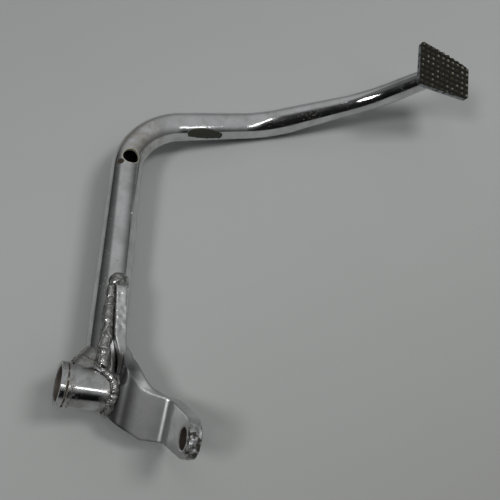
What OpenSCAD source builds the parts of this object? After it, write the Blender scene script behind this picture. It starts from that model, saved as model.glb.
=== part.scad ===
// Foot brake lever for a motorcycle, welded from a pivot tube, a bent tapered
// arm, a joggled rod lever plate, a saddle and a chequered foot pad.
// It is built in the pivot's own axes (X along the pivot bore, Y along the
// arm, Z up) and then laid down the way it rests on a flat table.

/* [Pivot tube] */
// Bore of the pivot tube
bore_d = 17; // [15:0.5:19]
// Wall of the pivot tube
tube_wall = 2.5; // [2.2:0.1:3.2]
// Length of the pivot tube
tube_len = 35; // [33:0.5:45]
// Distance from the open mouth to the middle of the arm
mouth_reach = 21; // [19.5:0.5:24]
// Chamfer at the edge of the bore
mouth_chamfer = 0.5; // [0.2:0.1:0.8]
// Distance from the mouth to the turned groove
groove_from_mouth = 4.6; // [3:0.1:5]
// Width of the turned groove
groove_w = 1.2; // [0.8:0.1:1.6]
// Depth of the turned groove
groove_depth = 0.5; // [0.3:0.1:0.8]

/* [Arm] */
// Outside diameter of the arm at the pivot
arm_d_foot = 20; // [19:0.2:21]
// Outside diameter of the arm round the elbow
arm_d_elbow = 17.6; // [16.4:0.2:19]
// Outside diameter of the arm round the second bend
arm_d_second = 16.4; // [14:0.2:17.4]
// Outside diameter of the arm round the last bend
arm_d_last = 12.8; // [11.4:0.2:14]
// Outside diameter of the arm at the pad
arm_d_end = 11.4; // [10:0.2:12.6]
// Wall of the arm tube
arm_wall = 2; // [1.4:0.1:2.5]
// Straight length from the pivot axis to the elbow
run_foot = 128.6; // [110:0.2:150]
// Straight length from the elbow to the second bend
run_middle = 40.7; // [30:0.1:60]
// Straight length from the second bend to the last bend
run_upper = 39.4; // [25:0.1:60]
// Straight length from the last bend to the face of the pad
run_end = 30; // [24:0.5:36]
// Centreline radius of the elbow
elbow_r = 37.5; // [30:0.5:50]
// Angle of the elbow
elbow_angle = 77.8; // [60:0.1:95]
// Lift of the elbow's plane above the pivot axis
elbow_lift = 12.3; // [0:0.1:25]
// Centreline radius of the second bend
second_r = 64.7; // [50:0.1:90]
// Angle of the second bend
second_angle = 25.7; // [15:0.1:35]
// Roll of the second bend about the arm
second_roll = 96; // [80:1:110]
// Centreline radius of the last bend
last_r = 73; // [50:0.5:90]
// Angle of the last bend
last_angle = 23.9; // [10:0.1:30]
// Roll of the last bend about the arm
last_roll = 88; // [70:1:110]
// Diameter of the vent hole at the elbow
vent_d = 9.4; // [5:0.2:10]
// Angle round the elbow where the vent hole sits
vent_at = 7.5; // [5:0.5:40]
// Roll of the vent hole towards the inside of the elbow
vent_roll = 10; // [0:1:30]

/* [Rod lever plate] */
// Thickness of the plate
plate_t = 6; // [5:0.2:7]
// Width of the lever strip at its root
lever_w = 22; // [20:0.2:24]
// Width of the rounded end
tip_w = 19.3; // [17:0.1:20.6]
// Angle from the arm to the raised end of the lever
lever_angle = 116; // [105:1:125]
// Sideways set of the lever from the pivot axis
lever_set = 8.2; // [6:0.2:10]
// Distance of the plate from the middle of the arm
plate_x = 4.5; // [4:0.1:5.5]
// Sideways step from the plate to the raised end
lever_offset = 26.4; // [22:0.2:32]
// Angle of the joggle
joggle_angle = 79; // [70:1:85]
// Inside radius of the first joggle bend
joggle_r1 = 2; // [1:0.1:3]
// Inside radius of the second joggle bend
joggle_r2 = 4; // [2:0.1:6]
// Height from the pivot axis to the start of the joggle
joggle_start = 6.5; // [5:0.1:7.5]
// Height from the pivot axis to the rod pin hole
pin_reach = 44.1; // [42:0.1:50]
// Diameter of the rod pin hole
pin_d = 10; // [8:0.5:11]
// Length of the fin from the pivot axis along the arm
fin_len = 52; // [45:1:60]
// Top of the fin above the arm's centre line
fin_top = 14.5; // [13.5:0.1:16]
// Rounding at the end of the fin
fin_round = 4; // [2:0.5:5]
// Turn of the fin across the arm
fin_turn = 4.1; // [3:0.1:5]
// Set of the fin back from the plate's face
fin_set = 2.2; // [1.5:0.1:3]

/* [Welds] */
// Radius of the long bead beside the fin at the foot
bead_r_foot = 3.6; // [3.2:0.1:4]
// Radius of the long bead at its far end
bead_r_end = 2.6; // [2.2:0.1:3]
// Radius of the bead round the pivot tube
ring_bead_r = 2.1; // [1.8:0.1:2.6]
// Angle round the pivot tube where its bead starts
ring_from = 165; // [150:1:175]
// Sweep of the bead round the pivot tube
ring_sweep = 157; // [120:1:160]
// Radius of the weld cap over the fin's end
cap_r = 6; // [5.6:0.1:6.6]
// Radius of the saddle between the arm and the pivot tube
saddle_r = 8; // [7:0.1:8.4]
// Radius of the bead under the foot pad
pad_bead_r = 2.4; // [2:0.1:2.8]

/* [Foot pad] */
// Length of the pad along the pivot axis
pad_w = 36.8; // [33:0.5:40]
// Depth of the pad on its inner side
pad_h_in = 31; // [28:0.5:34]
// Depth of the pad on its outer side
pad_h_out = 22.6; // [21:0.2:27]
// Thickness of the pad below its chequering
pad_t = 2.4; // [2:0.1:4]
// Corner rounding of the pad
pad_round = 2.6; // [2:0.1:4]
// Pitch of the chequer pyramids
chequer_pitch = 3.75; // [3.5:0.05:4.5]
// Height of the chequer pyramids
chequer_h = 1.2; // [0.8:0.1:1.6]
// Width of the worn flat on each crest
crest_flat = 0.25; // [0.15:0.05:0.6]
// Lean of the pad about its long side
pad_lean = 10.7; // [6:0.1:15]
// Tilt of the pad across the arm's end
pad_tilt = 28.9; // [24:0.1:33]
// Turn of the pad about the arm's end
pad_turn = 66.6; // [55:0.1:80]
// Shift of the pad across the arm's end
pad_shift = 1.9; // [0:0.1:3]

/* [Rest on the table] */
// Tilt of the pivot bore above the table
lie_tilt = 24; // [20:0.1:32]
// Slope of the arm along the table
lie_pitch = 2.8; // [0:0.1:6]

/* [Hidden] */
$fn = 96;

tube_d = bore_d + 2 * tube_wall;
joggle_front = joggle_r1 + plate_t;
web_len = (lever_offset - (joggle_front + joggle_r2) * (1 - cos(joggle_angle))) / sin(joggle_angle);
end_x = plate_x + lever_offset;
strip_reach = 90;
// Each run reaches a little into its bends, which are a hair slimmer
lap = 0.2;
bend_ease = 0.04;
groove_half = (chequer_pitch - crest_flat) / 2 * (chequer_h + 0.2) / chequer_h;
grooves = ceil(pad_w / chequer_pitch / 2);
arc_steps = 8;

module as_it_lies()
    rotate([lie_pitch, lie_tilt, 0])
        children();

// Pivot tube

module pivot_solid()
    translate([-mouth_reach, 0, 0])
        rotate([0, 90, 0])
            cylinder(d = tube_d, h = tube_len);

module bore_edge()
    rotate([0, 90, 0])
        translate([0, 0, -0.01])
            cylinder(d1 = bore_d + 2 * mouth_chamfer + 0.02, d2 = bore_d, h = mouth_chamfer + 0.01);

module pivot_tube()
    color([0.72, 0.72, 0.74])
        as_it_lies()
            difference() {
                pivot_solid();
                translate([-mouth_reach - 1, 0, 0])
                    rotate([0, 90, 0])
                        cylinder(d = bore_d, h = tube_len + 2);
                translate([-mouth_reach, 0, 0])
                    bore_edge();
                translate([tube_len - mouth_reach, 0, 0])
                    mirror([1, 0, 0])
                        bore_edge();
                translate([groove_from_mouth - mouth_reach, 0, 0])
                    rotate([0, 90, 0])
                        difference() {
                            cylinder(d = tube_d + 2, h = groove_w);
                            translate([0, 0, -1])
                                cylinder(d = tube_d - 2 * groove_depth, h = groove_w + 2);
                        }
            }

// Arm

module run(d1, d2, len)
    translate([0, 0, -lap])
        cylinder(d1 = d1, d2 = d2, h = len + 2 * lap);

module bend(d, r, angle, roll)
    rotate([0, 0, -roll])
        translate([r, 0, 0])
            rotate([90, 0, 180])
                rotate_extrude(angle = angle)
                    translate([r, 0])
                        circle(d = d - bend_ease);

module after_bend(r, angle, roll)
    rotate([0, 0, -roll])
        translate([r, 0, 0])
            rotate([0, angle, 0])
                translate([-r, 0, 0])
                    rotate([0, 0, roll])
                        children();

module at_elbow()
    rotate([-90, 0, 0])
        translate([0, 0, run_foot])
            children();

module at_middle_run()
    at_elbow()
        after_bend(elbow_r, elbow_angle, elbow_lift)
            children();

module at_upper_run()
    at_middle_run()
        translate([0, 0, run_middle])
            after_bend(second_r, second_angle, second_roll)
                children();

module at_last_run()
    at_upper_run()
        translate([0, 0, run_upper])
            after_bend(last_r, last_angle, last_roll)
                children();

module foot_run(thin = 0)
    rotate([-90, 0, 0])
        run(arm_d_foot - 2 * thin, arm_d_elbow - 2 * thin, run_foot);

// The arm's runs and bends, thinner all over by the given wall
module arm_solid(thin = 0) {
    d_elbow = arm_d_elbow - 2 * thin;
    d_second = arm_d_second - 2 * thin;
    d_last = arm_d_last - 2 * thin;
    foot_run(thin);
    at_elbow()
        bend(d_elbow, elbow_r, elbow_angle, elbow_lift);
    at_middle_run() {
        run(d_elbow, d_second, run_middle);
        translate([0, 0, run_middle])
            bend(d_second, second_r, second_angle, second_roll);
    }
    at_upper_run() {
        run(d_second, d_last, run_upper);
        translate([0, 0, run_upper])
            bend(d_last, last_r, last_angle, last_roll);
    }
    at_last_run()
        run(d_last, arm_d_end - 2 * thin, run_end);
}

module vent_hole()
    at_elbow()
        rotate([0, 0, -elbow_lift])
            translate([elbow_r, 0, 0])
                rotate([0, vent_at, 0])
                    translate([-elbow_r, 0, 0])
                        rotate([90, 0, vent_roll])
                            cylinder(d = vent_d, h = arm_d_elbow);

module arm_tube()
    color([0.72, 0.72, 0.74])
        as_it_lies()
            difference() {
                arm_solid();
                arm_solid(arm_wall);
                pivot_solid();
                vent_hole();
                pad_space();
            }

// Rod lever plate

module in_lever_axes()
    rotate([lever_angle - 90, 0, 0])
        children();

module strip_flat(len)
    translate([0, -strip_reach / 2, -lap])
        cube([plate_t, strip_reach, len + 2 * lap]);

// Bend towards +X with the front face outside
module strip_bend_out()
    translate([joggle_front, strip_reach / 2, 0])
        rotate([90, 0, 0])
            rotate([0, 0, 180 - joggle_angle])
                rotate_extrude(angle = joggle_angle)
                    translate([joggle_r1 + bend_ease / 2, 0])
                        square([plate_t - bend_ease, strip_reach]);

// Bend back to +Z with the front face inside
module strip_bend_back()
    translate([-joggle_r2, strip_reach / 2, 0])
        rotate([90, 0, 0])
            rotate_extrude(angle = joggle_angle)
                translate([joggle_r2 + bend_ease / 2, 0])
                    square([plate_t - bend_ease, strip_reach]);

module strip_root() {
    translate([plate_x, 0, -20])
        strip_flat(20 + joggle_start);
    translate([plate_x, 0, joggle_start])
        strip_bend_out();
}

module joggled_strip() {
    strip_root();
    translate([plate_x + joggle_front, 0, joggle_start])
        rotate([0, joggle_angle, 0])
            translate([-joggle_front, 0, 0]) {
                strip_flat(web_len);
                translate([0, 0, web_len]) {
                    strip_bend_back();
                    translate([-joggle_r2, 0, 0])
                        rotate([0, -joggle_angle, 0])
                            translate([joggle_r2, 0, 0])
                                strip_flat(60);
                }
            }
}

// Outline of the plate seen along the pivot axis
module side_outline()
    rotate([90, 0, 90])
        linear_extrude(end_x + 2 * plate_t) {
            translate([0.6 - lever_set, pin_reach])
                circle(d = tip_w);
            polygon([
                [-lever_set - lever_w / 2, -5],
                [8, -5],
                [12, -1.4],
                [24, -7.4],
                [24, 3],
                [18.5, 8],
                [13.3, 13.1],
                [9.1, 14.6],
                [5.8, 15.2],
                [4.5, 16],
                [3.6, 17],
                [lever_w / 2 - lever_set, 19],
                [0.6 + tip_w / 2 - lever_set, pin_reach],
                [0.6 - tip_w / 2 - lever_set, pin_reach],
                [-lever_set - lever_w / 2, 14]
            ]);
        }

// What the sweep of the two edges takes off the strip
module edge_cuts()
    translate([0, 0, -strip_reach / 2])
        linear_extrude(2 * strip_reach) {
            polygon([[-5, -60], [-5, -7.9], [4.2, -11.9], [20, -19.2], [20, -60]]);
            polygon([
                [6.4, 25.1],
                [14.8, 14.2],
                [18.1, 9.8],
                [21.2, 6.8],
                [24, 5.3],
                [31, 2.8],
                [80, 2.8],
                [80, 60],
                [5.4, 60]
            ]);
        }

module at_fin()
    translate([plate_x - fin_set, 0, 0])
        rotate([0, 0, fin_turn])
            children();

module fin_body()
    at_fin()
        difference() {
            cube([plate_t, fin_len, fin_top]);
            translate([-1, fin_len - fin_round, fin_top - fin_round])
                difference() {
                    cube([plate_t + 2, fin_round + 1, fin_round + 1]);
                    translate([-1, 0, 0])
                        rotate([0, 90, 0])
                            cylinder(r = fin_round, h = plate_t + 4);
                }
        }

module plate_body()
    difference() {
        union() {
            in_lever_axes()
                difference() {
                    intersection() {
                        joggled_strip();
                        side_outline();
                    }
                    edge_cuts();
                }
            fin_body();
        }
        in_lever_axes()
            translate([end_x - plate_t, -lever_set, pin_reach])
                rotate([0, 90, 0])
                    cylinder(d = pin_d, h = 3 * plate_t);
    }

module rod_lever_plate()
    color([0.70, 0.70, 0.72])
        as_it_lies()
            difference() {
                plate_body();
                pivot_solid();
                foot_run();
            }

// Saddle

module saddle_body()
    translate([-12.5, 3.9, 0])
        rotate([-90, 0, -38.7])
            cylinder(r = saddle_r, h = 23);

module saddle()
    color([0.62, 0.62, 0.63])
        as_it_lies()
            difference() {
                saddle_body();
                pivot_solid();
                foot_run();
            }

// Foot pad

module at_pad()
    at_last_run()
        translate([0.4, pad_shift, run_end])
            rotate([pad_lean, -pad_tilt, pad_turn])
                translate([1.8, 2, 0])
                    children();

function pad_corners() = [
    [-pad_w / 2, pad_h_in / 2],
    [pad_w / 2, pad_h_out / 2],
    [pad_w / 2, -pad_h_out / 2],
    [-pad_w / 2, -pad_h_in / 2]
];

function unit(v) = v / norm(v);
function tangent_len(a, b) = pad_round / tan(acos(unit(a) * unit(b)) / 2);
function to_next(i) = pad_corners()[(i + 1) % 4] - pad_corners()[i];
function to_last(i) = pad_corners()[(i + 3) % 4] - pad_corners()[i];
function touch_a(i) = pad_corners()[i] + unit(to_last(i)) * tangent_len(to_next(i), to_last(i));
function corner(i) = acos(unit(to_next(i)) * unit(to_last(i)));
function middle(i) = pad_corners()[i] + unit(unit(to_next(i)) + unit(to_last(i))) * pad_round / sin(corner(i) / 2);
function heading(v) = atan2(v[1], v[0]);
function arc(i) = [for (k = [0 : arc_steps])
    let (a = heading(touch_a(i) - middle(i)) - (180 - corner(i)) * k / arc_steps)
        middle(i) + pad_round * [cos(a), sin(a)]];

module pad_outline()
    polygon([for (i = [0 : 3]) each arc(i)]);

module pad_space()
    at_pad()
        translate([-pad_w, -pad_w, -pad_t - chequer_h])
            cube([2 * pad_w, 2 * pad_w, pad_w]);

module chequer_grooves()
    for (i = [-grooves : grooves])
        translate([i * chequer_pitch, pad_w, 0])
            rotate([90, 0, 0])
                linear_extrude(2 * pad_w)
                    polygon([[-groove_half, 0.2], [groove_half, 0.2], [0, -chequer_h]]);

module foot_pad()
    color([0.28, 0.27, 0.24])
        as_it_lies()
            at_pad()
                difference() {
                    translate([0, 0, -pad_t - chequer_h])
                        linear_extrude(pad_t + chequer_h)
                            pad_outline();
                    chequer_grooves();
                    rotate([0, 0, 90])
                        chequer_grooves();
                }

// Weld beads

module long_bead()
    translate([-2.6, 12, 9.3])
        rotate([-90, 0, 0]) {
            cylinder(r1 = bead_r_foot, r2 = bead_r_end, h = fin_len - 14);
            translate([0, 0, fin_len - 14])
                sphere(r = bead_r_end);
        }

module cap_body()
    at_fin()
        translate([plate_t / 2 - 0.4, fin_len + 2.4, 6.2])
            sphere(r = cap_r);

module ring_body()
    translate([plate_x - 0.5, 0, 0])
        rotate([0, 90, 0])
            rotate([0, 0, ring_from])
                rotate_extrude(angle = ring_sweep)
                    translate([tube_d / 2 + 0.4, 0])
                        circle(r = ring_bead_r);

module cut_clear()
    difference() {
        children();
        pivot_solid();
        foot_run();
        fin_body();
    }

module fin_bead()
    color([0.55, 0.53, 0.50])
        as_it_lies()
            difference() {
                cut_clear()
                    long_bead();
                cap_body();
                saddle_body();
            }

module fin_cap_bead()
    color([0.66, 0.66, 0.66])
        as_it_lies()
            cut_clear()
                cap_body();

module ring_bead()
    color([0.50, 0.49, 0.46])
        as_it_lies()
            difference() {
                ring_body();
                pivot_solid();
                foot_run();
                fin_body();
                in_lever_axes()
                    strip_root();
                long_bead();
            }

module pad_bead()
    color([0.45, 0.44, 0.42])
        as_it_lies()
            difference() {
                at_pad()
                    translate([-2, 0, -pad_t - chequer_h])
                        rotate_extrude()
                            translate([arm_d_end / 2 + 1, 0])
                                circle(r = pad_bead_r);
                pad_space();
                arm_solid();
            }

pivot_tube();
arm_tube();
rod_lever_plate();
saddle();
foot_pad();
fin_bead();
fin_cap_bead();
ring_bead();
pad_bead();
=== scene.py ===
# Looks of a welded foot brake lever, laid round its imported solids
import math
import bpy
import bmesh
from mathutils import Matrix, Vector, noise


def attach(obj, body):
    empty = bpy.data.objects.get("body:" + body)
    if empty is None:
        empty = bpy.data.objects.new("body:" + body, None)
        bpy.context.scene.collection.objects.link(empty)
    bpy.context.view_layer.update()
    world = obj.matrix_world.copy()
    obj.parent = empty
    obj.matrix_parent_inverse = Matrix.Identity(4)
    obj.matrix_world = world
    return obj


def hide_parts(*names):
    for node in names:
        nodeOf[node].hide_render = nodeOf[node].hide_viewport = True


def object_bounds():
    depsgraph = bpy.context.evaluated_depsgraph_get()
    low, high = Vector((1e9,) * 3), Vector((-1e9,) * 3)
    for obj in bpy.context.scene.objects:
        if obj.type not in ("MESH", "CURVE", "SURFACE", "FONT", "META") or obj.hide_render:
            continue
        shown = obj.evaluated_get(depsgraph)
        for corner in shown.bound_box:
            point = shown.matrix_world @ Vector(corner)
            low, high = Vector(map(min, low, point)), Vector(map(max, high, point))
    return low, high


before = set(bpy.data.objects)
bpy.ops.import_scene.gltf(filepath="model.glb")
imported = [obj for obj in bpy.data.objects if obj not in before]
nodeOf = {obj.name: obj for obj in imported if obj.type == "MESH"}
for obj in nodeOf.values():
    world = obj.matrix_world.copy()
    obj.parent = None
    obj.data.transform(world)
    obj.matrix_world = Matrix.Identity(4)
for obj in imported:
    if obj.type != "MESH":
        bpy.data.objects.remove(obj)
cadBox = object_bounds()
print("frame loaded")

mm = 0.001

# the pivot's own axes: x along the bore, y along the arm, z up; they lie on the table like this
restAngles = {"tilt": 24, "pitch": 2.8}
layDown = (Matrix.Rotation(math.radians(restAngles["tilt"]), 3, "Y")
           @ Matrix.Rotation(math.radians(restAngles["pitch"]), 3, "X"))


def fromPivot(x, y, z):
    return layDown @ Vector((x, y, z)) * mm


def turnedFromPivot(x, y, z):
    return layDown @ Vector((x, y, z))


boreDirection = turnedFromPivot(1, 0, 0)
armDirection = turnedFromPivot(0, 1, 0)


# small helpers for material nodes

def startMaterial(name):
    material = bpy.data.materials.new(name)
    material.use_nodes = True
    tree = material.node_tree
    tree.nodes.clear()
    output = tree.nodes.new("ShaderNodeOutputMaterial")
    shader = tree.nodes.new("ShaderNodeBsdfPrincipled")
    tree.links.new(shader.outputs["BSDF"], output.inputs["Surface"])
    place = tree.nodes.new("ShaderNodeTexCoord").outputs["Object"]
    return material, tree, shader, place


def connect(tree, value, socket):
    if isinstance(value, bpy.types.NodeSocket):
        tree.links.new(value, socket)
    elif isinstance(value, (tuple, list, Vector)) and len(value) == 3 and socket.type == "RGBA":
        socket.default_value = (*value, 1)
    else:
        socket.default_value = value


def calculate(tree, operation, first, second=0.0, clamp=False):
    node = tree.nodes.new("ShaderNodeMath")
    node.operation = operation
    node.use_clamp = clamp
    connect(tree, first, node.inputs[0])
    connect(tree, second, node.inputs[1])
    return node.outputs[0]


def fade(tree, value, start, end, low=0.0, high=1.0):
    # low at start, high at end, smooth between
    node = tree.nodes.new("ShaderNodeMapRange")
    node.interpolation_type = "SMOOTHSTEP"
    connect(tree, value, node.inputs["Value"])
    node.inputs["From Min"].default_value = start
    node.inputs["From Max"].default_value = end
    node.inputs["To Min"].default_value = low
    node.inputs["To Max"].default_value = high
    return node.outputs["Result"]


def between(tree, value, rise, fall):
    # 1 between two fades, each given by where it starts and ends
    return calculate(tree, "MULTIPLY", fade(tree, value, *rise), fade(tree, value, *fall))


def mixColours(tree, amount, first, second):
    node = tree.nodes.new("ShaderNodeMix")
    node.data_type = "RGBA"
    connect(tree, amount, node.inputs["Factor"])
    connect(tree, first, node.inputs[6])
    connect(tree, second, node.inputs[7])
    return node.outputs[2]


def mixNumbers(tree, amount, first, second):
    node = tree.nodes.new("ShaderNodeMix")
    connect(tree, amount, node.inputs["Factor"])
    connect(tree, first, node.inputs[2])
    connect(tree, second, node.inputs[3])
    return node.outputs[0]


def grain(tree, place, size, detail=3, roughness=0.55):
    # soft noise with lumps of about this size in millimetres
    scaled = tree.nodes.new("ShaderNodeMapping")
    scaled.inputs["Scale"].default_value = [1 / (size * mm)] * 3
    tree.links.new(place, scaled.inputs["Vector"])
    node = tree.nodes.new("ShaderNodeTexNoise")
    node.inputs["Scale"].default_value = 1
    node.inputs["Detail"].default_value = detail
    node.inputs["Roughness"].default_value = roughness
    tree.links.new(scaled.outputs["Vector"], node.inputs["Vector"])
    return node.outputs["Fac"]


def alongAxis(tree, place, direction):
    # distance along a direction from the pivot's middle, in millimetres
    node = tree.nodes.new("ShaderNodeVectorMath")
    node.operation = "DOT_PRODUCT"
    tree.links.new(place, node.inputs[0])
    node.inputs[1].default_value = direction / mm
    return node.outputs["Value"]


def nearPoint(tree, place, point, reach, soft):
    # 1 inside a ball round the point, 0 outside; reach and soft in millimetres
    node = tree.nodes.new("ShaderNodeVectorMath")
    node.operation = "DISTANCE"
    tree.links.new(place, node.inputs[0])
    node.inputs[1].default_value = point
    return fade(tree, node.outputs["Value"], (reach + soft) * mm, (reach - soft) * mm)


def insideHole(tree, place, point, direction, radius, depth):
    # 1 inside a round hole that starts at the point and runs along the direction
    offset = tree.nodes.new("ShaderNodeVectorMath")
    offset.operation = "SUBTRACT"
    tree.links.new(place, offset.inputs[0])
    offset.inputs[1].default_value = point
    along = tree.nodes.new("ShaderNodeVectorMath")
    along.operation = "DOT_PRODUCT"
    tree.links.new(offset.outputs[0], along.inputs[0])
    along.inputs[1].default_value = direction
    across = tree.nodes.new("ShaderNodeVectorMath")
    across.operation = "CROSS_PRODUCT"
    tree.links.new(offset.outputs[0], across.inputs[0])
    across.inputs[1].default_value = direction
    length = tree.nodes.new("ShaderNodeVectorMath")
    length.operation = "LENGTH"
    tree.links.new(across.outputs[0], length.inputs[0])
    inRadius = fade(tree, length.outputs["Value"], (radius + 0.25) * mm, (radius - 0.05) * mm)
    inDepth = between(tree, along.outputs["Value"], (-2.5 * mm, -2 * mm), ((depth + 1) * mm, depth * mm))
    return calculate(tree, "MULTIPLY", inRadius, inDepth)


def finishShader(tree, shader, colour, metallic, roughness, height, strength, reach):
    connect(tree, colour, shader.inputs["Base Color"])
    connect(tree, metallic, shader.inputs["Metallic"])
    connect(tree, roughness, shader.inputs["Roughness"])
    bump = tree.nodes.new("ShaderNodeBump")
    bump.inputs["Strength"].default_value = strength
    bump.inputs["Distance"].default_value = reach * mm
    connect(tree, height, bump.inputs["Height"])
    tree.links.new(bump.outputs["Normal"], shader.inputs["Normal"])


def newObject(name, shape):
    # puts a finished shape into the scene
    mesh = bpy.data.meshes.new(name)
    shape.to_mesh(mesh)
    shape.free()
    made = bpy.data.objects.new(name, mesh)
    bpy.context.scene.collection.objects.link(made)
    return made


def shadeSmooth(mesh):
    for face in mesh.polygons:
        face.use_smooth = True


def paintNode(nodeName, material):
    for place in nodeOf[nodeName].material_slots:
        place.material = material


# plated metal with haze, rust freckles in patches, and local marks: stains and painted light

platingSettings = {"hazeFrom": 0.35, "hazeTo": 0.7, "dullFrom": 0.3, "dullTo": 0.72, "freckleEdge": 0.05,
                   "freckleRough": 0.7, "patchSize": 14, "patchFrom": 0.42, "patchTo": 0.62}


def platedMetal(name, look):
    settings = platingSettings
    material, tree, shader, place = startMaterial(name)
    haze = grain(tree, place, look["hazeSize"], 4)
    hazed = fade(tree, haze, settings["hazeFrom"], settings["hazeTo"])
    colour = mixColours(tree, hazed, look["bright"], look["dull"])
    roughness = fade(tree, haze, settings["dullFrom"], settings["dullTo"], look["smooth"], look["rough"])
    fine = grain(tree, place, look["grainSize"], 5)
    specks = fade(tree, grain(tree, place, look["freckleSize"], 2),
                  look["freckleFrom"], look["freckleFrom"] + settings["freckleEdge"])
    patches = grain(tree, place, settings["patchSize"])
    patches = fade(tree, patches, settings["patchFrom"], settings["patchTo"])
    freckles = calculate(tree, "MULTIPLY", specks, patches)
    metallic = calculate(tree, "SUBTRACT", 1.0, freckles)
    colour = mixColours(tree, freckles, colour, look["rust"])
    roughness = mixNumbers(tree, freckles, roughness, settings["freckleRough"])
    for localMark in look["localMarks"](tree, place):
        colour = mixColours(tree, localMark["amount"], colour, localMark["colour"])
        roughness = mixNumbers(tree, localMark["amount"], roughness, localMark["rough"])
        metallic = mixNumbers(tree, localMark["amount"], metallic, localMark["metallic"])
    height = calculate(tree, "SUBTRACT", fine, freckles)
    finishShader(tree, shader, colour, metallic, roughness, height, look["bump"], look["bumpReach"])
    return material


def broken(tree, place, amount, size, start=0.4, end=0.6):
    # breaks a stain's edge up with noise
    return calculate(tree, "MULTIPLY", amount, fade(tree, grain(tree, place, size, 4), start, end))


def ragged(tree, place, amount, size):
    # gives a stain an uneven, sharp outline
    wobble = calculate(tree, "SUBTRACT", grain(tree, place, size, 5, roughness=0.65), 0.5)
    return fade(tree, calculate(tree, "ADD", amount, wobble), 0.47, 0.56)


# lengths in millimetres and angles in degrees
armSizes = {"footRun": 128.6, "footRadius": 10.0, "tubeRadius": 8.8, "elbowRadius": 37.5, "elbowLift": 12.3,
            "ventAt": 7.5, "ventRoll": 10}


def ventPlace():
    # centre and outward direction of the vent hole on the elbow
    toArm = Matrix.Rotation(math.radians(-90), 3, "X")
    lift = Matrix.Rotation(math.radians(-armSizes["elbowLift"]), 3, "Z")
    at = Matrix.Rotation(math.radians(armSizes["ventAt"]), 3, "Y")
    roll = (Matrix.Rotation(math.radians(armSizes["ventRoll"]), 3, "Z")
            @ Matrix.Rotation(math.radians(90), 3, "X"))
    bendCentre = Vector((armSizes["elbowRadius"], 0, 0))
    direction = toArm @ lift @ at @ roll @ Vector((0, 0, 1))
    centre = toArm @ (lift @ (bendCentre - at @ bendCentre) + Vector((0, 0, armSizes["footRun"])))
    surface = centre + direction * armSizes["tubeRadius"]
    return layDown @ surface * mm, layDown @ direction


ventPoint, ventDirection = ventPlace()
rustDark = (0.028, 0.020, 0.014)
rustBrown = (0.10, 0.062, 0.036)


# places from the pivot's middle, reaches and soft edges in millimetres
armMarks = {"holeRadius": 4.85, "holeDepth": 16, "rimReach": 5.2, "rimSoft": 1.6, "rimStrength": 0.72,
            "chipPlace": (-5.6, 128.9, 6.8), "chipReach": 2.0, "chipSoft": 1.8,
            "tintPlace": (3, 148, 4), "tintReach": 15, "tintSoft": 9, "tintStrength": 0.7,
            "patchStart": (35, 159.3, 11.8), "patchStep": (2, 0.38, 0.16), "patchSpots": 9,
            "patchReach": 2.8, "patchSoft": 3.0}


def darkPatch(tree, place):
    # a row of overlapping spots on the arm's near side past the elbow
    marks = armMarks
    patch = 0.0
    for step in range(marks["patchSpots"]):
        spot = Vector(marks["patchStart"]) + Vector(marks["patchStep"]) * step
        reach = marks["patchReach"] + math.sin(step * 0.4)
        spotAmount = nearPoint(tree, place, fromPivot(*spot), reach, marks["patchSoft"])
        patch = calculate(tree, "MAXIMUM", patch, spotAmount)
    return ragged(tree, place, patch, 5)


def armStainsAndHoleLight(tree, place):
    marks = armMarks
    # the vent hole's inside gets a pale colour, painted light so that it reads dim grey instead of black
    hole = insideHole(tree, place, ventPoint, -ventDirection, marks["holeRadius"], marks["holeDepth"])
    nearHole = nearPoint(tree, place, ventPoint, marks["rimReach"], marks["rimSoft"])
    rim = ragged(tree, place, calculate(tree, "MULTIPLY", nearHole, marks["rimStrength"]), 2.6)
    nearChip = nearPoint(tree, place, fromPivot(*marks["chipPlace"]), marks["chipReach"], marks["chipSoft"])
    chip = ragged(tree, place, nearChip, 2.2)
    nearTint = nearPoint(tree, place, fromPivot(*marks["tintPlace"]), marks["tintReach"], marks["tintSoft"])
    tint = calculate(tree, "MULTIPLY", broken(tree, place, nearTint, 5, 0.3, 0.75), marks["tintStrength"])
    patch = darkPatch(tree, place)
    return [
        {"amount": tint, "colour": (0.31, 0.265, 0.20), "rough": 0.35, "metallic": 0.9},
        {"amount": patch, "colour": (0.026, 0.027, 0.020), "rough": 0.55, "metallic": 0.2},
        {"amount": chip, "colour": rustDark, "rough": 0.8, "metallic": 0.1},
        {"amount": rim, "colour": rustDark, "rough": 0.6, "metallic": 0.4},
        {"amount": hole, "colour": (0.34, 0.33, 0.26), "rough": 0.85, "metallic": 0.0},
    ]


# along the bore in millimetres; the groove and the rust line are measured from the mouth
pivotSizes = {"mouth": -21.0, "grooveFrom": 4.6, "grooveWidth": 1.2, "grooveDirt": 0.35, "rustLine": 2.9,
              "wallFrom": 1.2, "wallRadius": 8.6, "wallDepth": 40, "heatFrom": -3.5, "heatTo": 3,
              "heatStrength": 0.7, "rustyFrom": -9, "rustyTo": -22}


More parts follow.
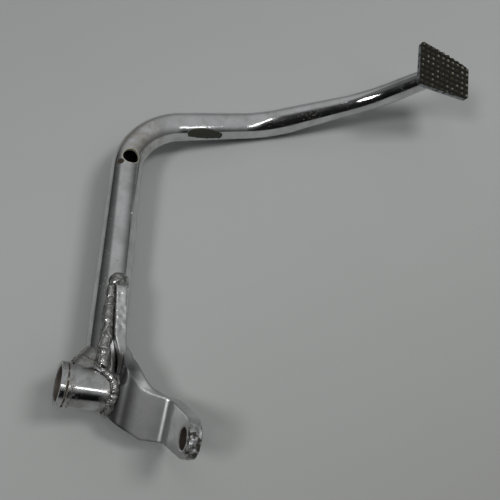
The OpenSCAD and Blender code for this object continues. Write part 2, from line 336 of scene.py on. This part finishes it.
def pivotStains(tree, place):
    sizes = pivotSizes
    along = alongAxis(tree, place, boreDirection)
    start = sizes["mouth"] + sizes["grooveFrom"]
    end = start + sizes["grooveWidth"]
    groove = between(tree, along, (start - 0.5, start + 0.1), (end + 0.7, end))
    groove = calculate(tree, "MULTIPLY", broken(tree, place, groove, 2.2, 0.3, 0.6), sizes["grooveDirt"])
    lip = sizes["mouth"] + sizes["rustLine"]
    rustLine = between(tree, along, (lip - 0.7, lip - 0.2), (lip + 1.0, lip + 0.4))
    rustLine = broken(tree, place, rustLine, 2.6, 0.3, 0.48)
    rusty = fade(tree, along, sizes["rustyFrom"], sizes["rustyTo"])
    rusty = broken(tree, place, broken(tree, place, rusty, 5, 0.4, 0.6), 1.1, 0.5, 0.62)
    wallStart = fromPivot(sizes["mouth"] + sizes["wallFrom"], 0, 0)
    wall = insideHole(tree, place, wallStart, boreDirection, sizes["wallRadius"], sizes["wallDepth"])
    heat = broken(tree, place, fade(tree, along, sizes["heatFrom"], sizes["heatTo"]), 3, 0.35, 0.65)
    heat = calculate(tree, "MULTIPLY", heat, sizes["heatStrength"])
    return [
        {"amount": heat, "colour": (0.12, 0.10, 0.085), "rough": 0.55, "metallic": 0.6},
        {"amount": groove, "colour": rustDark, "rough": 0.6, "metallic": 0.3},
        {"amount": rustLine, "colour": (0.035, 0.024, 0.014), "rough": 0.7, "metallic": 0.1},
        {"amount": rusty, "colour": rustDark, "rough": 0.6, "metallic": 0.2},
        {"amount": wall, "colour": (0.16, 0.14, 0.12), "rough": 0.5, "metallic": 0.7},
    ]


# the heat's fade runs along the bore, the fin's and the fin top's wear and painted highlight along the arm,
# the tip's along the lever
plateMarks = {"pinPlace": (30.9, -26.7, 36.04), "pinRadius": 5.05, "pinDepth": 8,
              "rootPlace": (2.8, 12, 10.5), "rootReach": 6.2, "rootSoft": 2.6, "rootStrength": 0.9,
              "heatFrom": 17.5, "heatTo": 10, "heatStrength": 0.86, "finFrom": 6, "finTo": 20,
              "wearAndHighlightFrom": 24, "wearAndHighlightTo": 40, "tipFrom": 47, "tipTo": 51.5}
leverTurn = 26.0  # degrees about the bore
leverDirection = layDown @ Matrix.Rotation(math.radians(leverTurn), 3, "X") @ Vector((0, 0, 1))


def plateStainsAndPaintedLight(tree, place):
    marks = plateMarks
    alongBore = alongAxis(tree, place, boreDirection)
    alongArm = alongAxis(tree, place, armDirection)
    alongLever = alongAxis(tree, place, leverDirection)
    pinPoint = fromPivot(*marks["pinPlace"])
    hole = insideHole(tree, place, pinPoint, boreDirection, marks["pinRadius"], marks["pinDepth"])
    root = nearPoint(tree, place, fromPivot(*marks["rootPlace"]), marks["rootReach"], marks["rootSoft"])
    root = calculate(tree, "MULTIPLY", root, marks["rootStrength"])
    offFin = fade(tree, alongArm, marks["finFrom"], marks["finTo"], marks["heatStrength"], 0.0)
    heat = calculate(tree, "MULTIPLY", fade(tree, alongBore, marks["heatFrom"], marks["heatTo"]), offFin)
    # the fin's top is made lighter: partly wear, partly a painted highlight
    wearAndHighlight = fade(tree, alongArm, marks["wearAndHighlightFrom"], marks["wearAndHighlightTo"])
    # the raised tip's rim is darkened: partly worn metal, partly a painted dark reflection
    tip = broken(tree, place, fade(tree, alongLever, marks["tipFrom"], marks["tipTo"]), 2.6, 0.42, 0.56)
    return [
        {"amount": heat, "colour": (0.028, 0.028, 0.030), "rough": 0.42, "metallic": 0.9},
        {"amount": root, "colour": (0.035, 0.033, 0.03), "rough": 0.5, "metallic": 0.7},
        {"amount": wearAndHighlight, "colour": (0.74, 0.74, 0.74), "rough": 0.2, "metallic": 1.0},
        {"amount": tip, "colour": (0.035, 0.032, 0.027), "rough": 0.45, "metallic": 0.5},
        {"amount": hole, "colour": rustDark, "rough": 0.8, "metallic": 0.1},
    ]


# lump sizes and bump reaches in millimetres
armLook = {"bright": (0.66, 0.66, 0.67), "dull": (0.52, 0.52, 0.52), "smooth": 0.07, "rough": 0.17,
           "hazeSize": 9, "grainSize": 0.7, "freckleSize": 0.9, "freckleFrom": 0.66, "rust": rustBrown,
           "bump": 0.10, "bumpReach": 0.05, "localMarks": armStainsAndHoleLight}
pivotLook = {"bright": (0.56, 0.56, 0.57), "dull": (0.36, 0.36, 0.35), "smooth": 0.06, "rough": 0.16,
             "hazeSize": 6, "grainSize": 0.6, "freckleSize": 0.8, "freckleFrom": 0.64, "rust": rustBrown,
             "bump": 0.14, "bumpReach": 0.05, "localMarks": pivotStains}
plateLook = {"bright": (0.56, 0.565, 0.565), "dull": (0.46, 0.46, 0.46), "smooth": 0.36, "rough": 0.43,
             "hazeSize": 9, "grainSize": 0.5, "freckleSize": 0.9, "freckleFrom": 0.68, "rust": rustDark,
             "bump": 0.2, "bumpReach": 0.06, "localMarks": plateStainsAndPaintedLight}

paintNode("arm_tube", platedMetal("arm_tube_plating", armLook))
paintNode("pivot_tube", platedMetal("pivot_tube_plating", pivotLook))
plateMaterial = platedMetal("plate_plating", plateLook)
print("plated metals made")


# steel of the chequered pad: dark valleys, and lighter crests that are partly wear and partly painted
# highlight

# heights from the crests' tops in millimetres
padLook = {"wearAndHighlightFrom": -0.55, "wearAndHighlightTo": -0.15, "deepFrom": -0.35, "deepTo": -1.1, "rimFrom": -1.35,
           "rimTo": -1.65, "pit": (0.007, 0.0065, 0.004), "dust": (0.045, 0.041, 0.026),
           "wearAndHighlight": (0.50, 0.48, 0.40), "rim": (0.30, 0.31, 0.335), "smooth": 0.25, "rough": 0.42,
           "bump": 0.35, "bumpReach": 0.08}


def padFrame():
    # the way the pad's face looks and how far out it lies that way, from the solid itself
    mesh = nodeOf["foot_pad"].data
    mesh.calc_loop_triangles()
    sums = {}
    for triangle in mesh.loop_triangles:
        key = tuple(round(c, 2) for c in triangle.normal)
        sums[key] = sums.get(key, 0) + triangle.area
    back = Vector(max(sums, key=sums.get)).normalized()
    facing = -back
    corners = [v.co for v in mesh.vertices]
    top = max(c.dot(facing) for c in corners)
    return facing, top


padFacing, padTop = padFrame()


def padMetal():
    material, tree, shader, place = startMaterial("pad_steel")
    look = padLook
    height = alongAxis(tree, place, padFacing)
    top = padTop / mm
    # the crests are lighter: partly wear, partly a painted highlight on the teeth
    crest = fade(tree, height, top + look["wearAndHighlightFrom"], top + look["wearAndHighlightTo"])
    wearAndHighlightMask = calculate(tree, "MULTIPLY", crest, fade(tree, grain(tree, place, 4, 4), 0.47, 0.56))
    deep = fade(tree, height, top + look["deepFrom"], top + look["deepTo"])
    dirt = mixNumbers(tree, deep, grain(tree, place, 2.2, 4), 0.0)
    colour = mixColours(tree, dirt, look["pit"], look["dust"])
    colour = mixColours(tree, wearAndHighlightMask, colour, look["wearAndHighlight"])
    belowFace = fade(tree, height, top + look["rimFrom"], top + look["rimTo"])
    rim = calculate(tree, "MULTIPLY", belowFace, fade(tree, grain(tree, place, 3, 3), 0.35, 0.55))
    colour = mixColours(tree, rim, colour, look["rim"])
    wearAndHighlightMask = calculate(tree, "MAXIMUM", wearAndHighlightMask, rim)
    metallic = mixNumbers(tree, wearAndHighlightMask, 0.35, 1.0)
    roughness = mixNumbers(tree, wearAndHighlightMask, look["rough"], look["smooth"])
    finishShader(tree, shader, colour, metallic, roughness, grain(tree, place, 0.5, 4), look["bump"],
                 look["bumpReach"])
    return material


paintNode("foot_pad", padMetal())
print("foot pad metal made")


# sizes of the plate, in the pivot's axes and in its lever's, which are turned about the bore
plateShape = {"voxel": 0.42, "softening": 5, "thickness": 6.0, "plateFace": 4.5,
              "finSet": 2.2, "finSlope": 0.0717, "flowFrom": 10.0, "flowTo": 26.0,
              "hammerFrom": 20.0, "hammerSize": 2.4, "hammerDepth": 0.3,
              "bendStart": 6.5, "bendRadius": 8.02, "bendAngle": 79, "bendSteps": 12,
              "cutterReach": (-40, 60), "tipMiddle": (-7.6, 44.1), "tipDepth": 0.45, "tipDentSize": 1.5}


# weld beads: swept lumps with ripples, dark where the lumps part, and dark along the toe with grime and
# painted contact shade where they meet the tube

def cracks(tree, place, size):
    # thin dark lines between patches of about this size in millimetres, with gaps in them
    bent = tree.nodes.new("ShaderNodeVectorMath")
    bent.operation = "MULTIPLY_ADD"
    wobble = grain(tree, place, 3, 3)
    tree.links.new(wobble, bent.inputs[0])
    bent.inputs[1].default_value = [2.2 * mm] * 3
    tree.links.new(place, bent.inputs[2])
    cells = tree.nodes.new("ShaderNodeTexVoronoi")
    cells.feature = "DISTANCE_TO_EDGE"
    cells.inputs["Scale"].default_value = 1 / (size * mm)
    tree.links.new(bent.outputs[0], cells.inputs["Vector"])
    line = fade(tree, cells.outputs["Distance"], 0.045, 0.012)
    return calculate(tree, "MULTIPLY", line, fade(tree, grain(tree, place, 5, 2), 0.42, 0.5))


def weldMetal(name, look):
    material, tree, shader, place = startMaterial(name)
    seam = tree.nodes.new("ShaderNodeAttribute")
    seam.attribute_name = "seam"
    gaps = fade(tree, grain(tree, place, 1.2, 4), 0.25, 0.5)
    seamDirtAndToeShade = calculate(tree, "MULTIPLY", seam.outputs["Fac"], gaps, True)
    if "crackSize" in look:
        seamDirtAndToeShade = calculate(tree, "MAXIMUM", seamDirtAndToeShade, cracks(tree, place, look["crackSize"]))
    haze = grain(tree, place, 2.4, 4)
    colour = mixColours(tree, fade(tree, haze, 0.35, 0.65), look["bright"], look["dull"])
    # seam colour: dirt in the lump seams and cracks, and at the toe grime with painted contact shade
    colour = mixColours(tree, seamDirtAndToeShade, colour, look["dirt"])
    metallic = calculate(tree, "SUBTRACT", 1.0, calculate(tree, "MULTIPLY", seamDirtAndToeShade, 0.85))
    cleanRough = fade(tree, haze, 0.3, 0.7, look["smooth"], look["rough"])
    roughness = mixNumbers(tree, seamDirtAndToeShade, cleanRough, 0.8)
    finishShader(tree, shader, colour, metallic, roughness, grain(tree, place, 0.6, 5), look["bump"], 0.08)
    return material


# the dirt colour darkens seams, cracks and the toe, where it is also painted contact shade
beadLook = {"bright": (0.50, 0.50, 0.49), "dull": (0.23, 0.23, 0.22), "dirt": (0.014, 0.012, 0.009),
            "smooth": 0.17, "rough": 0.34, "bump": 0.3}
saddleLook = {"bright": (0.36, 0.36, 0.355), "dull": (0.24, 0.235, 0.22), "dirt": rustDark,
              "smooth": 0.2, "rough": 0.34, "bump": 0.25, "crackSize": 9}
padBeadLook = {"bright": (0.34, 0.33, 0.30), "dull": (0.16, 0.15, 0.13), "dirt": rustDark,
               "smooth": 0.35, "rough": 0.6, "bump": 0.6}
weldMaterial = weldMetal("weld_skin", beadLook)


def smoothStep(value, start, end):
    share = min(1.0, max(0.0, (value - start) / (end - start)))
    return share * share * (3 - 2 * share)


def lumpSeam(point, size):
    # 1 between neighbouring lumps of this size, 0 on their crowns
    distances = noise.voronoi(point / size)[0]
    gap = distances[1] - distances[0]
    return max(0.0, 1.0 - gap / 0.16)


def finishWeld(name, shape):
    bmesh.ops.recalc_face_normals(shape, faces=shape.faces)
    weld = newObject(name, shape)
    shadeSmooth(weld.data)
    weld.data.materials.append(weldMaterial)
    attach(weld, "root")
    return weld


def sweptWeld(name, path, radius, look):
    # path gives a point and a side direction for a share of the way, both in the pivot's axes
    rings, sides = look["rings"], look["sides"]
    shape = bmesh.new()
    seamLayer = shape.verts.layers.float.new("seam")
    rows = []
    for i in range(rings + 1):
        share = i / rings
        centre = path(share)
        ahead = path(min(share + 0.01, 1.0)) - path(max(share - 0.01, 0.0))
        ahead.normalize()
        side = ahead.cross(look["up"](share)).normalized()
        lift = side.cross(ahead).normalized()
        row = []
        for j in range(sides):
            angle = 2 * math.pi * j / sides
            outward = side * math.cos(angle) + lift * math.sin(angle)
            wave = share * look["ripples"] + 0.16 * math.sin(angle)
            ripple = abs((wave % 1.0) - 0.5) * 2
            size = radius(share) * (1 - look["rippleDepth"] * ripple ** 3)
            point = centre + outward * size
            seam = lumpSeam(point + look["shift"], look["lumpSize"])
            seam = max(seam * look["lumpSeam"], look["rippleSeam"] * max(0.0, ripple - 0.8) * 5)
            # the toe, where the bead meets the tube, is darkened with the seams: grime and painted contact
            # shade
            edge = look["clearance"](point) + 0.5 * noise.noise(point / 1.7)
            toeGrimeAndShade = 1 - smoothStep(edge, 0.5, 1.7)
            lump = noise.noise((point + look["shift"]) / (look["lumpSize"] * 0.8))
            point += outward * (look["lumpHeight"] * lump - look["seamDepth"] * seam)
            vertex = shape.verts.new(layDown @ point * mm)
            vertex[seamLayer] = min(1.0, max(seam, toeGrimeAndShade))
            row.append(vertex)
        rows.append(row)
    for near, far in zip(rows, rows[1:]):
        for j in range(sides):
            k = (j + 1) % sides
            shape.faces.new((near[j], near[k], far[k], far[j]))
    for row, flip in ((rows[0], True), (rows[-1], False)):
        middle = shape.verts.new(sum((v.co for v in row), Vector()) / sides)
        for j in range(sides):
            pair = (row[j], row[(j + 1) % sides])
            shape.faces.new((middle, pair[1], pair[0]) if flip else (middle, pair[0], pair[1]))
    return finishWeld(name, shape)


finBeadSizes = {"x": -2.6, "z": 9.3, "from": 6.6, "to": 52.5, "footRadius": 3.7, "endRadius": 2.7,
                "footRound": 0.06, "endRound": 0.07}


def finBeadPath(share):
    sizes = finBeadSizes
    wander = 0.35 * math.sin(share * 17) + 0.2 * math.sin(share * 41)
    return Vector((sizes["x"] + wander, sizes["from"] + (sizes["to"] - sizes["from"]) * share, sizes["z"]))


def finBeadRadius(share):
    sizes = finBeadSizes
    plain = sizes["footRadius"] + (sizes["endRadius"] - sizes["footRadius"]) * share
    ended = max(0.0, (share - 1 + sizes["endRound"]) / sizes["endRound"], 1 - share / sizes["footRound"])
    return plain * math.sqrt(max(0.0, 1 - ended ** 2 * 0.95))


def aboveArm(point):
    # height over the arm's skin and sideways room to the fin, whichever is less
    taper = armSizes["footRadius"] - armSizes["tubeRadius"]
    armRadius = armSizes["footRadius"] - taper * point.y / armSizes["footRun"]
    finFace = plateShape["plateFace"] - plateShape["finSet"] - plateShape["finSlope"] * point.y
    return min(math.hypot(point.x, point.z) - armRadius, finFace - point.x)


finBead = sweptWeld("fin_bead_skin", finBeadPath, finBeadRadius, {
    "rings": 260, "sides": 64, "up": lambda share: Vector((0, 0, 1)), "ripples": 11, "rippleDepth": 0.03,
    "shift": Vector((3, 1, 7)), "lumpSize": 6.5, "lumpSeam": 1.0, "rippleSeam": 0.1, "lumpHeight": 0.5,
    "seamDepth": 0.22, "clearance": aboveArm})
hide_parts("fin_bead")

ringBeadSizes = {"x": 4.0, "radius": 11.4, "thick": 2.1, "thin": 0.25, "fromAngle": 46, "toAngle": 236,
                 "startBack": 6.4, "startHeight": 9.9, "pivotRadius": 11}


def ringBeadPath(share):
    sizes = ringBeadSizes
    angle = math.radians(sizes["fromAngle"] + (sizes["toAngle"] - sizes["fromAngle"]) * share)
    wander = 0.3 * math.sin(share * 23) - sizes["startBack"] * (1 - smoothStep(share, 0, 0.24))
    height = sizes["radius"] * math.sin(angle)
    if share < 0.3:
        height = max(height, sizes["startHeight"])
    return Vector((sizes["x"] + wander, sizes["radius"] * math.cos(angle), height))


def ringBeadRadius(share):
    # thinner towards both ends
    return ringBeadSizes["thick"] * (1 - ringBeadSizes["thin"] * abs(2 * share - 1) ** 6)


def abovePivot(point):
    return math.hypot(point.y, point.z) - ringBeadSizes["pivotRadius"]


ringBead = sweptWeld("ring_bead_skin", ringBeadPath, ringBeadRadius, {
    "rings": 260, "sides": 48, "up": lambda share: Vector((1, 0, 0)), "ripples": 17, "rippleDepth": 0.09,
    "shift": Vector((9, 4, 2)), "lumpSize": 3.4, "lumpSeam": 0.8, "rippleSeam": 0.4, "lumpHeight": 0.4,
    "seamDepth": 0.3, "clearance": abovePivot})
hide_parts("ring_bead")


def ballWeld(name, centre, radius, look):
    # a rounded weld cap with lumps and dark worm-like seams
    shape = bmesh.new()
    bmesh.ops.create_icosphere(shape, subdivisions=6, radius=1.0)
    seamLayer = shape.verts.layers.float.new("seam")
    for vertex in shape.verts:
        outward = vertex.co.normalized()
        squashed = Vector((outward.x * radius[0], outward.y * radius[1], outward.z * radius[2]))
        point = centre + squashed
        seam = lumpSeam(point + look["shift"], look["lumpSize"]) * look["lumpSeam"]
        lump = noise.noise((point + look["shift"]) / (look["lumpSize"] * 0.8))
        point += outward * (look["lumpHeight"] * lump - look["seamDepth"] * seam)
        vertex.co = layDown @ point * mm
        vertex[seamLayer] = min(1.0, seam)
    return finishWeld(name, shape)


capSizes = {"middle": (1.2, 54.3, 6.2), "radii": (5.9, 6.0, 6.2)}
capWeld = ballWeld("fin_cap_skin", Vector(capSizes["middle"]), capSizes["radii"], {
    "shift": Vector((1, 8, 5)), "lumpSize": 6.5, "lumpSeam": 1.0, "lumpHeight": 0.3, "seamDepth": 0.15})
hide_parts("fin_cap_bead")

paintNode("saddle", weldMetal("saddle_skin", saddleLook))
paintNode("pad_bead", weldMetal("pad_bead_skin", padBeadLook))
print("welds made")


# the plate as it was forged and ground: soft edges, and the fin flowing into the lever strip

def forgedPlace(point):
    # where a point of the plate goes, in the pivot's axes
    sizes = plateShape
    if point.y < 0 or point.z < 4:
        return point
    finFace = sizes["plateFace"] - sizes["finSet"] - sizes["finSlope"] * point.y
    depth = (point.x - finFace) / sizes["thickness"]
    if depth < 1.2:
        lead = sizes["plateFace"] - finFace
        flow = 1 - smoothStep(point.y, sizes["flowFrom"], sizes["flowTo"])
        point.x += lead * flow * (1 - smoothStep(depth, -0.1, 1.2))
    return point


def hammeredFin(point):
    # dents along the fin's top
    sizes = plateShape
    if point.y < sizes["hammerFrom"]:
        return point
    hammered = smoothStep(point.y, sizes["hammerFrom"], sizes["hammerFrom"] + 8) * smoothStep(point.z, 12, 14)
    point.z -= sizes["hammerDepth"] * hammered * (0.5 + noise.noise(point / sizes["hammerSize"]))
    return point


def hammeredTip(point):
    # dents round the rim of the lever's raised end
    sizes = plateShape
    turned = Matrix.Rotation(math.radians(-leverTurn), 3, "X") @ point
    rim = math.hypot(turned.y - sizes["tipMiddle"][0], turned.z - sizes["tipMiddle"][1])
    if turned.z < sizes["tipMiddle"][1] - 2:
        return point
    amount = sizes["tipDepth"] * smoothStep(rim, 7.6, 9.0) * smoothStep(turned.z, 44, 49)
    inward = (Vector((0, *sizes["tipMiddle"])) - Vector((0, turned.y, turned.z))).normalized()
    turned += inward * amount * (0.5 + noise.noise(point / sizes["tipDentSize"]))
    return Matrix.Rotation(math.radians(leverTurn), 3, "X") @ turned


def makeBendCutter():
    # the room in front of the first bend, which the fin's lower corner is trimmed back to
    sizes = plateShape
    face, start, radius = sizes["plateFace"], sizes["bendStart"], sizes["bendRadius"]
    outline = [(face - 12, start), (face, start)]
    for step in range(1, sizes["bendSteps"] + 1):
        angle = math.radians(sizes["bendAngle"] * step / sizes["bendSteps"])
        outline.append((face + radius * (1 - math.cos(angle)), start + radius * math.sin(angle)))
    outline += [(outline[-1][0], 40), (face - 12, 40)]
    toLever = Matrix.Rotation(math.radians(leverTurn), 3, "X")
    shape = bmesh.new()
    ends = [[shape.verts.new(layDown @ toLever @ Vector((x, along, up)) * mm) for x, up in outline]
            for along in sizes["cutterReach"]]
    shape.faces.new(ends[0])
    shape.faces.new(reversed(ends[1]))
    for i in range(len(outline)):
        k = (i + 1) % len(outline)
        shape.faces.new((ends[0][i], ends[0][k], ends[1][k], ends[1][i]))
    bmesh.ops.recalc_face_normals(shape, faces=shape.faces)
    return newObject("bend_cutter", shape)


def makePlate():
    source = nodeOf["rod_lever_plate"]
    shape = bmesh.new()
    shape.from_mesh(source.data)
    bmesh.ops.remove_doubles(shape, verts=shape.verts, dist=0.02 * mm)
    plate = newObject("lever_plate_skin", shape)
    cutter = makeBendCutter()
    trim = plate.modifiers.new("trim", "BOOLEAN")
    trim.operation = "DIFFERENCE"
    trim.solver = "EXACT"
    trim.object = cutter
    remesh = plate.modifiers.new("even", "REMESH")
    remesh.mode = "VOXEL"
    remesh.voxel_size = plateShape["voxel"] * mm
    bpy.context.view_layer.update()
    even = bpy.data.meshes.new_from_object(plate.evaluated_get(bpy.context.evaluated_depsgraph_get()))
    plate.modifiers.clear()
    bpy.data.objects.remove(cutter)
    toPivot = layDown.inverted()
    shape = bmesh.new()
    shape.from_mesh(even)
    for vertex in shape.verts:
        vertex.co = layDown @ forgedPlace(toPivot @ vertex.co / mm) * mm
    for _ in range(plateShape["softening"]):
        bmesh.ops.smooth_vert(shape, verts=shape.verts, factor=0.5,
                              use_axis_x=True, use_axis_y=True, use_axis_z=True)
    for vertex in shape.verts:
        vertex.co = layDown @ hammeredTip(hammeredFin(toPivot @ vertex.co / mm)) * mm
    shape.to_mesh(even)
    shape.free()
    shadeSmooth(even)
    even.materials.clear()
    even.materials.append(plateMaterial)
    plate.data = even
    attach(plate, "root")
    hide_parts("rod_lever_plate")
    print("lever plate made,", len(even.polygons), "faces")


makePlate()


# table, lights and camera

# the table's colour darkens towards one side, a painted light falloff, over a stretch in millimetres
tableSettings = {"half": 2.5, "colour": (0.335, 0.345, 0.340), "far": (0.185, 0.184, 0.178),
                 "falloffToward": (0.45, -1.0, 0), "dullFrom": -140, "dullTo": 330, "mottle": 0.06, "mottleSize": 60,
                 "rough": 0.75, "bump": 0.05}


def makeTable():
    settings = tableSettings
    shape = bmesh.new()
    bmesh.ops.create_grid(shape, x_segments=40, y_segments=40, size=settings["half"])
    for vertex in shape.verts:
        vertex.co.z = cadBox[0].z
    table = newObject("table_top", shape)
    material, tree, shader, place = startMaterial("table_paint")
    mottle = grain(tree, place, settings["mottleSize"])
    # painted shade: the colour darkens towards the far colour along this direction, with a random mottle
    paintedFalloff = alongAxis(tree, place, Vector(settings["falloffToward"]).normalized())
    paintedFalloff = fade(tree, paintedFalloff, settings["dullFrom"], settings["dullTo"])
    falloffAndMottle = mixNumbers(tree, settings["mottle"], paintedFalloff, mottle)
    colour = mixColours(tree, falloffAndMottle, settings["colour"], settings["far"])
    fine = grain(tree, place, 0.8, 4)
    finishShader(tree, shader, colour, 0.0, settings["rough"], fine, settings["bump"], 0.05)
    table.data.materials.append(material)


makeTable()

# metres and watts; a light that doesn't shine is left out of the plating's reflections
lightTarget = (0.09, 0.08, 0)
lightSettings = {
    "right": {"towards": (0.530, 0.013, 0.848), "distance": 1.3, "size": (0.32, 0.32), "power": 7.4,
              "shine": False},
    "left": {"towards": (-0.405, -0.312, 0.860), "distance": 1.3, "size": (0.32, 0.32), "power": 5.6,
             "shine": True},
    "strip": {"towards": (0.28, -0.26, 0.92), "distance": 1.1, "size": (1.2, 0.028), "power": 1.5,
              "shine": True, "along": (0.52, -0.72, -0.38)},
}


def makeLight(name, settings):
    lamp = bpy.data.lights.new(name, "AREA")
    lamp.shape = "RECTANGLE"
    lamp.size, lamp.size_y = settings["size"]
    lamp.energy = settings["power"]
    light = bpy.data.objects.new(name, lamp)
    towards = Vector(settings["towards"]).normalized()
    light.location = Vector(lightTarget) + towards * settings["distance"]
    light.rotation_euler = (-towards).to_track_quat("-Z", "Y").to_euler()
    if "along" in settings:
        across = towards.cross(Vector(settings["along"])).normalized()
        turned = Matrix((across.cross(towards), across, towards)).transposed()
        light.rotation_euler = turned.to_euler()
    light.visible_glossy = settings["shine"]
    bpy.context.scene.collection.objects.link(light)


for name, settings in lightSettings.items():
    makeLight(name + "_softbox", settings)


# the room: its pale and dark sides show in the plating, the camera sees it even
roomSettings = {"pale": 0.46, "dark": 0.012, "left": 0.17, "sides": 0.25, "seen": 0.33,
                "paleSide": (0.79, 0.61, -0.07), "paleFrom": -0.22, "paleTo": 0.0,
                "leftFrom": -0.3, "leftTo": 0.25, "sideways": 0.45, "riseFrom": -0.4, "riseTo": 0.75,
                "tint": (0.98, 1.0, 0.995)}


def makeRoom():
    settings = roomSettings
    world = bpy.data.worlds.new("room")
    bpy.context.scene.world = world
    world.use_nodes = True
    tree = world.node_tree
    tree.nodes.clear()
    output = tree.nodes.new("ShaderNodeOutputWorld")
    backgroundNode = tree.nodes.new("ShaderNodeBackground")
    tree.links.new(backgroundNode.outputs[0], output.inputs["Surface"])
    direction = tree.nodes.new("ShaderNodeTexCoord").outputs["Generated"]
    split = tree.nodes.new("ShaderNodeSeparateXYZ")
    tree.links.new(direction, split.inputs[0])
    # pale to the right and behind, dull to the left, dark in front, and dimmer low down at either side
    paleSide = tree.nodes.new("ShaderNodeVectorMath")
    paleSide.operation = "DOT_PRODUCT"
    tree.links.new(direction, paleSide.inputs[0])
    paleSide.inputs[1].default_value = settings["paleSide"]
    isPale = fade(tree, paleSide.outputs["Value"], settings["paleFrom"], settings["paleTo"])
    low = fade(tree, split.outputs["Y"], settings["leftFrom"], settings["leftTo"], settings["dark"],
               settings["left"])
    brightness = mixNumbers(tree, isPale, low, settings["pale"])
    aside = calculate(tree, "MULTIPLY", calculate(tree, "ABSOLUTE", split.outputs["X"]), settings["sideways"])
    rise = calculate(tree, "SUBTRACT", split.outputs["Z"], aside)
    dimmed = fade(tree, rise, settings["riseFrom"], settings["riseTo"], settings["sides"], 1.0)
    brightness = calculate(tree, "MULTIPLY", brightness, dimmed)
    seen = tree.nodes.new("ShaderNodeLightPath").outputs["Is Camera Ray"]
    strength = mixNumbers(tree, seen, brightness, settings["seen"])
    tree.links.new(strength, backgroundNode.inputs["Strength"])
    backgroundNode.inputs["Color"].default_value = (*settings["tint"], 1)


makeRoom()

# turn is the tip up from straight down, the roll and the heading, in degrees
cameraSettings = {"place": (0.06086, -0.0918, 0.30891), "turn": (28.938, -2.212, -0.579),
                  "focusInPixels": 632.4, "photoSide": 500, "sensor": 36.0}


def makeCamera():
    settings = cameraSettings
    lens = bpy.data.cameras.new("photo_camera")
    lens.sensor_width = settings["sensor"]
    lens.lens = settings["focusInPixels"] / settings["photoSide"] * settings["sensor"]
    lens.clip_start = 0.01
    camera = bpy.data.objects.new("photo_camera", lens)
    camera.location = settings["place"]
    camera.rotation_euler = [math.radians(angle) for angle in settings["turn"]]
    bpy.context.scene.collection.objects.link(camera)
    bpy.context.scene.camera = camera


makeCamera()
bpy.context.scene.view_settings.view_transform = "Standard"
print("table, lights and camera set")
